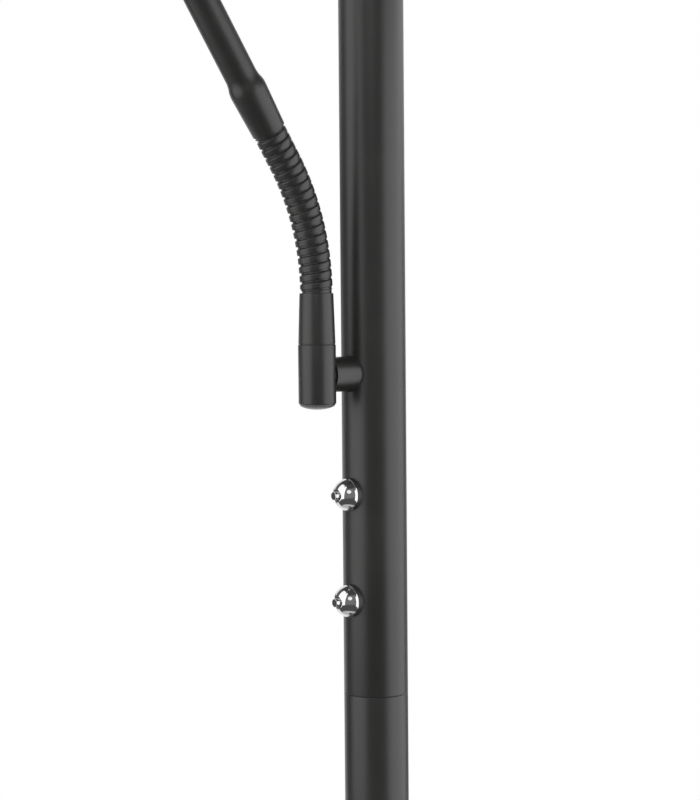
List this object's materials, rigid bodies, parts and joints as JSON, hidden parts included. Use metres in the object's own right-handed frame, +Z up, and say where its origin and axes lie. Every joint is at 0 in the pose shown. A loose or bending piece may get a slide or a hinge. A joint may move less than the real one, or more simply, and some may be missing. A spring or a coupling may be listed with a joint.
{
  "type": "floor lamp",
  "caption": "Tall black floor lamp with a round base, a jointed pole, a dish uplighter, push switches and a reading light on a gooseneck arm.",
  "frame": {"origin": "centre of the base pad's underside, on the floor", "axes": "+Z up along the pole; -Y is the front, where the arm's stub and the push switches are"},
  "size_m": [0.27, 0.4889, 1.8],
  "materials": {
    "black_coat": "matt black powder coat with a fine texture",
    "black_gooseneck": "satin black painted steel strip",
    "cap_grey": "moulded end cap",
    "chrome": "polished plating",
    "zinc_steel": "bright zinc",
    "black_screw": "blackened steel",
    "cast_weight": "rough casting",
    "black_rubber": "matt",
    "black_plastic": "moulded",
    "wiring": "sheathed leads",
    "aluminium": "machined",
    "led_board": "white solder mask",
    "opal": "opal acrylic, satin"
  },
  "bodies": {
    "lamp_stand": {"base_cover": "black_coat", "foot_collar": "black_coat", "pole_tube_1": "black_coat", "pole_tube_2": "black_coat", "pole_tube_3": "black_coat", "pole_tube_4": "black_coat", "arm_stub": "black_coat", "arm_connector": "black_coat", "lower_ferrule": "black_coat", "uplighter_neck": "black_coat", "uplighter_dish": "black_coat", "gooseneck_lower": "black_gooseneck", "connector_cap": "cap_grey", "lower_switch_dome": "chrome", "upper_switch_dome": "chrome", "base_stud": "zinc_steel", "base_washer": "zinc_steel", "base_nut": "zinc_steel", "pole_foot_plug": "zinc_steel", "pole_joiner_1": "zinc_steel", "pole_joiner_2": "zinc_steel", "pole_joiner_3": "zinc_steel", "stub_bolt": "zinc_steel", "stub_saddle_washer": "zinc_steel", "stub_nut": "zinc_steel", "neck_nipple": "zinc_steel", "uplighter_spacer": "zinc_steel", "lower_switch_spring": "zinc_steel", "upper_switch_spring": "zinc_steel", "base_weight": "cast_weight", "base_pad": "black_rubber", "cord_gland": "black_rubber", "stub_gasket": "black_rubber", "neck_washer": "black_plastic", "uplighter_driver": "black_plastic", "lower_switch_body": "black_plastic", "upper_switch_body": "black_plastic", "lower_switch_saddle": "black_plastic", "upper_switch_saddle": "black_plastic", "pole_wiring": "wiring", "uplighter_led_plate": "led_board", "uplighter_diffuser": "opal"},
    "neck_link_lower": {"gooseneck_middle": "black_gooseneck"},
    "neck_link_upper": {"gooseneck_upper": "black_gooseneck"},
    "reading_arm": {"upper_ferrule": "black_coat", "arm_tube": "black_coat", "arm_end_plug": "zinc_steel"},
    "head_yoke": {"head_fork": "black_coat", "fork_grub_screw": "black_screw", "knuckle_screw": "black_screw", "friction_washers": "black_plastic"},
    "reading_head": {"head_bracket": "black_coat", "head_housing": "black_coat", "head_heat_sink": "aluminium", "head_led_board": "led_board", "head_lens": "opal", "head_bezel": "black_coat"},
    "upper_button": {"upper_switch_button": "chrome"},
    "lower_button": {"lower_switch_button": "chrome"}
  },
  "joints": [
    {"name": "neck_bend", "type": "hinge", "parent": "lamp_stand", "child": "neck_link_lower", "pos_m": [0, -0.03185, 1.06771], "axis": [1, 0, 0], "range_deg": [-9, 27], "deforming": ["gooseneck_lower"]},
    {"name": "neck_sway", "type": "hinge", "parent": "neck_link_lower", "child": "neck_link_upper", "pos_m": [0, -0.03767, 1.09195], "axis": [0, 0.9366, 0.3503], "range_deg": [-30, 30], "deforming": ["gooseneck_middle"]},
    {"name": "neck_bend_upper", "type": "hinge", "parent": "neck_link_upper", "child": "reading_arm", "pos_m": [0, -0.04915, 1.11408], "axis": [1, 0, 0], "range_deg": [-9, 27], "deforming": ["gooseneck_upper"]},
    {"name": "head_turn", "type": "hinge", "parent": "reading_arm", "child": "head_yoke", "pos_m": [0, -0.26427, 1.4466], "axis": [0, -0.5432, 0.8396], "range_deg": [-170, 170]},
    {"name": "head_tilt", "type": "hinge", "parent": "head_yoke", "child": "reading_head", "pos_m": [0, -0.26427, 1.4466], "axis": [1, 0, 0], "range_deg": [-143, 12]},
    {"name": "upper_button_press", "type": "slide", "parent": "lamp_stand", "child": "upper_button", "axis": [0, 1, 0], "range_m": [0, 0.0016], "stiffness_N_per_m": 900, "deforming": ["upper_switch_spring"]},
    {"name": "lower_button_press", "type": "slide", "parent": "lamp_stand", "child": "lower_button", "axis": [0, 1, 0], "range_m": [0, 0.0016], "stiffness_N_per_m": 900, "deforming": ["lower_switch_spring"]}
  ],
  "couplings": [
    {"joint": "neck_bend_upper", "follows": "neck_bend", "ratio": 1}
  ]
}
